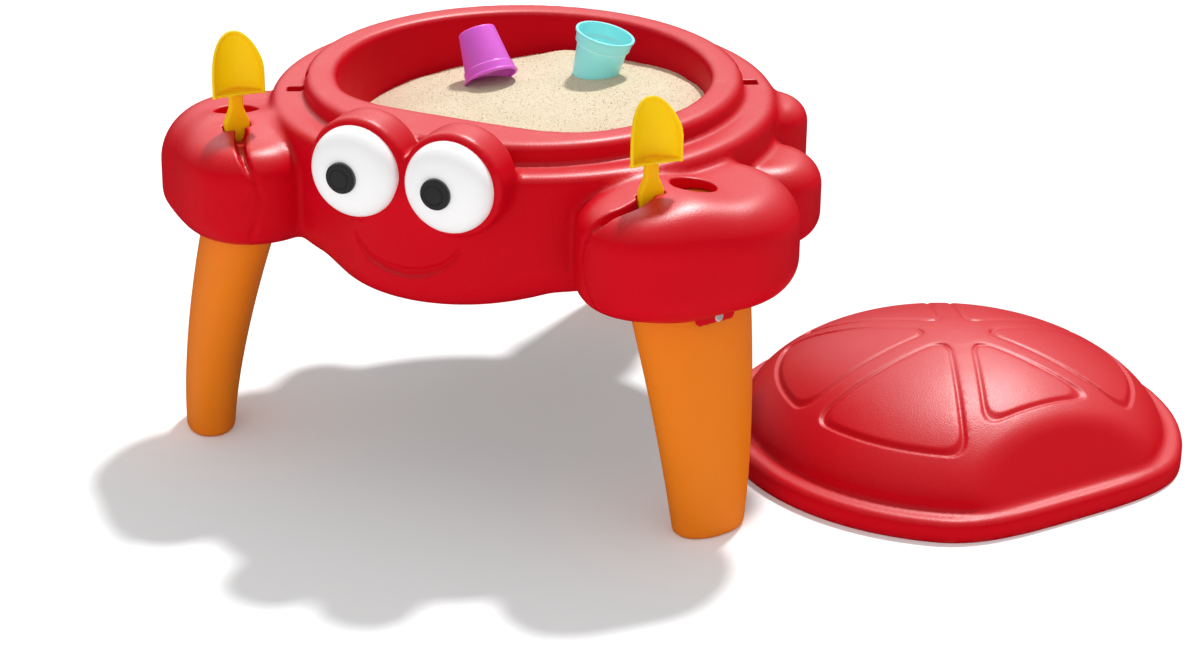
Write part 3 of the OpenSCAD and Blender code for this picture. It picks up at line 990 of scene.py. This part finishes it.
def buildSand():
    around, outward = sandBed["around"], sandBed["outward"]
    angles = np.linspace(0, 2 * math.pi, around, endpoint=False)
    points, faces = [(0, 0, float(sandHeight(0, 0)))], []
    for k in range(1, outward + 1):
        share = k / outward
        guess = basinReach(angles, 400)
        for _ in range(3):
            x, y = guess * np.cos(angles), guess * np.sin(angles)
            guess = basinReach(angles, sandHeight(x, y))
        reach = (guess + 0.6) * share
        x, y = reach * np.cos(angles), reach * np.sin(angles)
        z = sandHeight(x, y)
        points.extend(zip(x, y, z))
    for i in range(around):
        j = (i + 1) % around
        faces.append((0, 1 + i, 1 + j))
        for k in range(outward - 1):
            a = 1 + k * around
            faces.append((a + i, a + around + i, a + around + j, a + j))
    # a skirt goes down inside the basin and closes on its floor
    skirt = len(points)
    edge = 1 + (outward - 1) * around
    underside = table["basinFloor"] + 1
    for x, y, z in points[edge:edge + around]:
        points.append((x * 0.97, y * 0.97, underside))
    points.append((0, 0, underside))
    for i in range(around):
        j = (i + 1) % around
        faces.append((edge + i, skirt + i, skirt + j, edge + j))
        faces.append((skirt + i, len(points) - 1, skirt + j))
    piece = objectFromArrays("sandBed", np.array(points), faces)
    recalcOutward(piece)
    return piece


sand = buildSand()
dress(sand, materials["playSand"], "table", ("sand_fill",))


def newGeometryTree(name, inputs):
    tree = bpy.data.node_groups.new(name, "GeometryNodeTree")
    tree.interface.new_socket("Geometry", in_out="INPUT", socket_type="NodeSocketGeometry")
    ids = {}
    for label, kind in inputs:
        ids[label] = tree.interface.new_socket(label, in_out="INPUT", socket_type=kind).identifier
    tree.interface.new_socket("Geometry", in_out="OUTPUT", socket_type="NodeSocketGeometry")
    return tree, tree.nodes.new("NodeGroupInput"), tree.nodes.new("NodeGroupOutput"), ids


def runGeometryTree(name, tree, ids, values, source=None):
    mesh = source.data.copy() if source else bpy.data.meshes.new(name)
    piece = bpy.data.objects.new(name, mesh)
    bpy.context.scene.collection.objects.link(piece)
    modifier = piece.modifiers.new(name, "NODES")
    modifier.node_group = tree
    for label, value in values.items():
        modifier[ids[label]] = value
    applyModifiers(piece)
    return piece


def makeGrainTree():
    # small faceted grains strewn over the faces that look up
    tree, given, out, ids = newGeometryTree("sandGrains", [
        ("Density", "NodeSocketFloat"), ("Size", "NodeSocketFloat"), ("Seed", "NodeSocketInt"),
        ("Finish", "NodeSocketMaterial")])
    normal = addNode(tree, "GeometryNodeInputNormal")
    parts = addNode(tree, "ShaderNodeSeparateXYZ", {0: normal.outputs[0]})
    upward = addNode(tree, "FunctionNodeCompare", {
        0: parts.outputs["Z"], 1: 0.5}, operation="GREATER_THAN")
    strewn = addNode(tree, "GeometryNodeDistributePointsOnFaces", {
        "Mesh": given.outputs["Geometry"], "Selection": upward.outputs[0],
        "Density": given.outputs["Density"], "Seed": given.outputs["Seed"]})
    ball = addNode(tree, "GeometryNodeMeshIcoSphere", {
        "Radius": given.outputs["Size"], "Subdivisions": 1})
    size = addNode(tree, "FunctionNodeRandomValue", {"Min": (0.5, 0.5, 0.4), "Max": (1.5, 1.4, 1.1)},
                   data_type="FLOAT_VECTOR")
    turn = addNode(tree, "FunctionNodeRandomValue", {"Min": (0, 0, 0), "Max": (6.28, 6.28, 6.28)},
                   data_type="FLOAT_VECTOR")
    placedGrains = addNode(tree, "GeometryNodeInstanceOnPoints", {
        "Points": strewn.outputs["Points"], "Instance": ball.outputs["Mesh"],
        "Rotation": turn.outputs[0], "Scale": size.outputs[0]})
    real = addNode(tree, "GeometryNodeRealizeInstances", {0: placedGrains.outputs[0]})
    finish = addNode(tree, "GeometryNodeSetMaterial", {
        "Geometry": real.outputs[0], "Material": given.outputs["Finish"]})
    tree.links.new(finish.outputs[0], out.inputs[0])
    return tree, ids


grainTree, grainIds = makeGrainTree()
basinArea = math.pi * (sandBed["radius"] * millimetre) ** 2
grains = runGeometryTree("looseGrains", grainTree, grainIds, {
    "Density": sandBed["grains"] / basinArea, "Size": sandBed["grainSize"], "Seed": sandBed["seed"],
    "Finish": materials["playSand"]}, sand)
dress(grains, materials["playSand"], "table")
print("sand", len(grains.data.polygons))


# cover: a domed shell with six grooved panels, a hub and a rolled edge

cover = {"radius": 297, "front": 263, "corner": 36, "edgeHeight": 28, "edgeRound": 11, "wall": 3.2,
         "baseRadius": 271, "baseZ": 28, "height": 154, "domePowers": (1.739, 0.575),
         "chord": 243, "chordLean": 0.60,
         "panels": 6, "firstPanel": -90, "panelInner": 44, "panelOuter": 226, "chordPanel": 170,
         "ribHalf": 15,
         "grooveWidth": 5.8, "grooveDepth": 5.0, "hubRadius": 40, "hubScallop": 4, "hubRise": 1.6,
         "fadeFrom": 36, "fadeOver": 12,
         "place": (544, 146), "turn": 54.6, "cell": 6.2}


def coverForm(x, y, z):
    # the dome narrows towards its top, a leaning plane cuts it in front, and a bead runs round its foot;
    # the factors bring each slope near one, so that values are close to distances
    c = cover
    u = np.clip((z - c["baseZ"]) / (c["height"] - c["baseZ"]), 0, 1)
    rise, swell = c["domePowers"]
    reach = c["baseRadius"] * np.clip(1 - u ** rise, 0, 1) ** swell
    dome = (np.hypot(x, y) - reach) * 0.72
    dome = blendMax(dome, (z - c["height"] + 0.9) * 0.9, 3)
    flat = -(y + c["chord"] - c["chordLean"] * (z - c["baseZ"])) * 0.83
    dome = blendMax(dome, flat, 9)
    rounding = c["edgeRound"]
    outline = blendMax(np.hypot(x, y) - c["radius"], -(y + c["front"]), c["corner"])
    qx = outline + rounding
    qz = z - c["edgeHeight"] + rounding
    bead = np.minimum(np.maximum(qx, qz), 0) + np.hypot(np.maximum(qx, 0), np.maximum(qz, 0)) - rounding
    return blendMin(dome, bead, 7)


def panelField(x, y):
    # signed distance to the nearest panel's outline, seen from above
    c = cover
    panels = []
    for n in range(c["panels"]):
        a = math.radians(c["firstPanel"] + 360 / c["panels"] * n)
        u = x * math.cos(a) + y * math.sin(a)
        v = np.abs(-x * math.sin(a) + y * math.cos(a))
        half = math.radians(180 / c["panels"])
        sideways = v * math.cos(half) - u * math.sin(half) + c["ribHalf"]
        outer = (u - c["chordPanel"]) if n == 0 else (np.hypot(x, y) - c["panelOuter"])
        panels.append(blendMax(blendMax(sideways, outer, 26), c["panelInner"] - u, 14))
    return nearest(panels)


def grooveDepth(x, y):
    c = cover
    share = np.clip(1 - np.abs(panelField(x, y)) / c["grooveWidth"], 0, 1)
    return c["grooveDepth"] * share * share * (3 - 2 * share)


def hubRise(x, y):
    # a low scalloped hub, with one scallop for each rib
    r, a = np.hypot(x, y), np.arctan2(y, x)
    edge = cover["hubRadius"] + cover["hubScallop"] * np.cos(cover["panels"] * (a - math.radians(60)))
    share = np.clip((edge - r) / 6 + 0.5, 0, 1)
    return cover["hubRise"] * share * share * (3 - 2 * share)


def coverFine(x, y, z):
    # panels and hub fade out where the bead begins
    high = np.clip((z - cover["fadeFrom"]) / cover["fadeOver"], 0, 1)
    return coverForm(x, y, z) + (grooveDepth(x, y) - hubRise(x, y)) * high * 0.9


def coverDetail(x, y, z):
    hub = np.abs(np.hypot(x, y) - cover["hubRadius"]) + 2
    farAway = 99
    return np.where(z > cover["fadeFrom"] - 2, np.minimum(np.abs(panelField(x, y)), hub), farAway)


def buildCover():
    c = cover
    reach = c["radius"] + 9
    low, high = (-reach, -c["front"] - 9, -16), (reach, reach, c["height"] + 14)
    piece = skinPiece("coverShell", coverForm, coverFine, low, high, c["cell"],
                      [(coverDetail, 11), (coverDetail, 6.5)])
    # the open foot is cut level, then the skin gets its thickness
    bm = bmesh.new()
    bm.from_mesh(piece.data)
    bmesh.ops.bisect_plane(bm, geom=bm.verts[:] + bm.edges[:] + bm.faces[:], plane_co=(0, 0, 0.0004),
                           plane_no=(0, 0, -1), clear_outer=True)
    bmesh.ops.remove_doubles(bm, verts=bm.verts, dist=2e-4)
    bm.to_mesh(piece.data)
    bm.free()
    p = meshPoints(piece.data) @ spunAxes(c["turn"]) + np.array(c["place"] + (0,)) * millimetre
    piece.data.vertices.foreach_set("co", p.ravel())
    piece.data.update()
    wall = piece.modifiers.new("wall", "SOLIDIFY")
    wall.thickness = c["wall"] * millimetre
    wall.offset = -1
    applyModifiers(piece)
    piece.data.polygons.foreach_set("use_smooth", [True] * len(piece.data.polygons))
    return piece


coverPiece = buildCover()
dress(coverPiece, materials["coverRed"], "cover", ("lid",))
print("cover", len(coverPiece.data.polygons))


# cups

cups = {
    "blue": {"lip": 39, "waist": 33, "base": 28, "height": 70, "band": 17, "wall": 2,
             "origin": (46, 112, 424), "turn": (-3, 13, 0)},
    "purple": {"lip": 36, "waist": 31, "base": 24, "height": 66, "band": 15, "wall": 2,
               "origin": (-99, 67, 487), "turn": (0, 143, -35.6)},
}


def cupProfile(c):
    lip, waist, base, h, band, wall = (c[k] for k in ("lip", "waist", "base", "height", "band", "wall"))
    return roundedProfile([
        (0, 1.0, 0), (base - 5, 1.0, 1), (base - 4, 0, 0.8), (base, 0, 2.2), (waist, h - band - 0.6, 1.0),
        (lip - 3.2, h - band + 0.8, 1.0), (lip - 2.0, h - 4, 0.8), (lip, h - 3.2, 0.9), (lip, h, 1.2),
        (lip - wall - 1.5, h, 1.1), (lip - wall - 3, h - band + 1, 2.0), (waist - wall, h - band - 3, 2.0),
        (base - wall, wall + 1, 3.0), (0, wall + 1, 0)], 4)


for name, node, body, slotName, material in (
        ("blue", "cup_blue", "blue_cup", "blue_plastic", "bluePlastic"),
        ("purple", "cup_purple", "purple_cup", "purple_plastic", "purplePlastic")):
    points, faces = lathe(cupProfile(cups[name]), 112)
    axes = turnedAxes(*cups[name]["turn"])
    piece = objectFromArrays(name + "Cup", placed(points, cups[name]["origin"], axes), faces)
    recalcOutward(piece)
    dress(piece, materials[material], body, (node,))
print("cups")


# shovels

# the blade's foot is at the length less the blade less the stretch sunk in the claw
shovel = {"length": 190, "blade": 77, "half": 33, "shoulder": 22, "sunk": 64, "wall": 2.4, "cell": 1.5,
          "bowl": 37, "bowlBack": 6, "lipFront": 16, "rimHalf": 1.6, "rimRaise": 0.9,
          "stemAt": (0, 0.52, 0.67, 0.82, 1.0), "stemHalf": (10, 15.8, 15.8, 8.8, 8.4),
          "thickAt": (0, 0.54, 0.78, 1.0), "thickHalf": (5.0, 5.6, 5.4, 5.0)}


def bladeOutline(x, z):
    # z from the foot of the blade: straight shoulders, then a long rounded tip
    halfWidth, shoulder = shovel["half"], shovel["shoulder"]
    tip = shovel["blade"] - shoulder
    e = np.maximum(z - shoulder, 0)
    k0 = np.sqrt((x / halfWidth) ** 2 + (e / tip) ** 2)
    k1 = np.sqrt((x / halfWidth ** 2) ** 2 + (e / tip ** 2) ** 2)
    curved = k0 * (k0 - 1) / np.maximum(k1, 1e-6)
    return np.where(z > shoulder, curved, np.abs(x) - halfWidth)


def bladeField(x, y, q):
    # a sheet bent round the bowl, with a thicker rim and a floor across its foot
    s = shovel
    bowl = np.hypot(x, y - s["bowlBack"] + s["bowl"]) - s["bowl"]
    outline = bladeOutline(x, q)
    front = -(y + s["lipFront"])
    sheet = np.abs(bowl + s["wall"] / 2) - s["wall"] / 2
    rim = np.maximum(np.abs(outline + 1.2) - s["rimHalf"], sheet - s["rimRaise"])
    rim = np.maximum(np.maximum(rim, -q), front)
    blade = blendMax(blendMax(sheet, outline, 1.5), -q, 1.5)
    blade = np.maximum(blade, y - 8)
    blade = blendMin(blendMax(blade, front, 1.5), rim, 1.5)
    footPlate = boxField(x, y + 4, q - 1.5, (s["half"] - 1, 11.5, 1.7), 1.4)
    return blendMin(blade, np.maximum(footPlate, bowl), 3)


def shovelField(x, y, z):
    s = shovel
    foot = s["length"] - s["blade"] - s["sunk"]
    u = np.clip((z + s["sunk"]) / (foot + s["sunk"]), 0, 1)
    width = np.interp(u, s["stemAt"], s["stemHalf"])
    thick = np.interp(u, s["thickAt"], s["thickHalf"])
    rounding = 3
    qx, qy = np.abs(x) - width + rounding, np.abs(y) - thick + rounding
    stem = np.hypot(np.maximum(qx, 0), np.maximum(qy, 0)) + np.minimum(np.maximum(qx, qy), 0) - rounding
    stem = blendMax(stem, np.maximum(-(z + s["sunk"]), z - foot - 3), 3)
    return blendMin(bladeField(x, y, z - foot), stem, 5)


def buildShovel(name, side, body, node):
    s = shovel
    low, high = (-38, -20, -s["sunk"] - 4), (38, 14, s["length"] - s["sunk"] + 4)
    piece = skinPiece(name, shovelField, shovelField, low, high, s["cell"])
    slotMouth = (side * table["slot"][0], table["slot"][1], table["clawTop"])
    p = placed(meshPoints(piece.data) / millimetre, slotMouth, spunAxes(table["slotTurn"]))
    piece.data.vertices.foreach_set("co", (p * millimetre).ravel())
    piece.data.update()
    dress(piece, materials["yellowPlastic"], body, (node,))
    return piece


buildShovel("shovelLeft", -1, "left_shovel", "shovel_left")
shovelPiece = buildShovel("shovelRight", 1, "right_shovel", "shovel_right")
print("shovels", len(shovelPiece.data.polygons))


# leg screws: a domed head with a cross recess, set on each lug by the same tree

screw = {"outwards": 57.5, "z": 283, "firstAngle": -148, "frontStep": 116, "rearAngle": 90, "recess": 1.8}


def screwHead():
    head = roundedProfile([(0, 3.4, 0), (3.5, 3.1, 1.5), (6.0, 0.9, 1.0), (6.0, 0, 0.3), (2.5, 0, 0.3),
                           (2.5, -17, 0.3), (0, -18, 0)], 4)
    points, faces = lathe(head, 32)
    # the cross recess is pressed into the dome
    x, y, z = points.T
    cross = ((np.abs(x) < 0.8) & (np.abs(y) < 3.4)) | ((np.abs(y) < 0.8) & (np.abs(x) < 3.4))
    points[cross & (z > 1.5), 2] -= screw["recess"]
    return points, faces


points, faces = screwHead()
headObject = objectFromArrays("screwHead", points, faces)
recalcOutward(headObject)


def makeScrewTree():
    tree, given, out, ids = newGeometryTree("legScrews", [
        ("Head", "NodeSocketObject"), ("Count", "NodeSocketInt"), ("Distance", "NodeSocketFloat"),
        ("Height", "NodeSocketFloat"), ("Finish", "NodeSocketMaterial")])
    head = addNode(tree, "GeometryNodeObjectInfo", {"Object": given.outputs["Head"]})
    spots = addNode(tree, "GeometryNodePoints", {"Count": given.outputs["Count"]})
    which = addNode(tree, "GeometryNodeInputIndex")
    # the first two spots are the front legs, the third is the rear one
    step = addNode(tree, "ShaderNodeMath", {
        0: which.outputs[0], 1: math.radians(screw["frontStep"])}, operation="MULTIPLY")
    first = addNode(tree, "ShaderNodeMath", {
        0: step.outputs[0], 1: math.radians(screw["firstAngle"])}, operation="ADD")
    isRear = addNode(tree, "FunctionNodeCompare", {2: which.outputs[0], 3: 1}, data_type="INT",
                     operation="GREATER_THAN")
    angle = addNode(tree, "GeometryNodeSwitch", {
        0: isRear.outputs[0], 1: first.outputs[0], 2: math.radians(screw["rearAngle"])},
        input_type="FLOAT")
    c = addNode(tree, "ShaderNodeMath", {0: angle.outputs[0]}, operation="COSINE")
    s = addNode(tree, "ShaderNodeMath", {0: angle.outputs[0]}, operation="SINE")
    px = addNode(tree, "ShaderNodeMath", {
        0: c.outputs[0], 1: given.outputs["Distance"]}, operation="MULTIPLY")
    py = addNode(tree, "ShaderNodeMath", {
        0: s.outputs[0], 1: given.outputs["Distance"]}, operation="MULTIPLY")
    spot = addNode(tree, "ShaderNodeCombineXYZ", {
        0: px.outputs[0], 1: py.outputs[0], 2: given.outputs["Height"]})
    moved = addNode(tree, "GeometryNodeSetPosition", {
        "Geometry": spots.outputs[0], "Position": spot.outputs[0]})
    turn = addNode(tree, "ShaderNodeCombineXYZ", {0: 0.0, 1: math.radians(90), 2: angle.outputs[0]})
    rows = addNode(tree, "GeometryNodeInstanceOnPoints", {
        "Points": moved.outputs[0], "Instance": head.outputs["Geometry"], "Rotation": turn.outputs[0]})
    real = addNode(tree, "GeometryNodeRealizeInstances", {0: rows.outputs[0]})
    finish = addNode(tree, "GeometryNodeSetMaterial", {
        "Geometry": real.outputs[0], "Material": given.outputs["Finish"]})
    tree.links.new(finish.outputs[0], out.inputs[0])
    return tree, ids


screwTree, screwIds = makeScrewTree()
screws = runGeometryTree("legScrews", screwTree, screwIds, {
    "Head": headObject, "Count": 3, "Distance": (table["socketDistance"] + screw["outwards"]) * millimetre,
    "Height": screw["z"] * millimetre, "Finish": materials["screwSteel"]})
bpy.data.objects.remove(headObject)
dress(screws, materials["screwSteel"], "table", ("leg_screws",))
print("screws", len(screws.data.polygons))


# lugs that take the screws

def buildLugs():
    points, quads = quadSkin(lugField, (-420, -300, 276), (420, 430, 310), 2.5)
    piece = objectFromArrays("screwLugs", settle(lugField, points, 4), quads)
    dress(piece, materials["redPlastic"], "table")


buildLugs()
print("screw lugs")
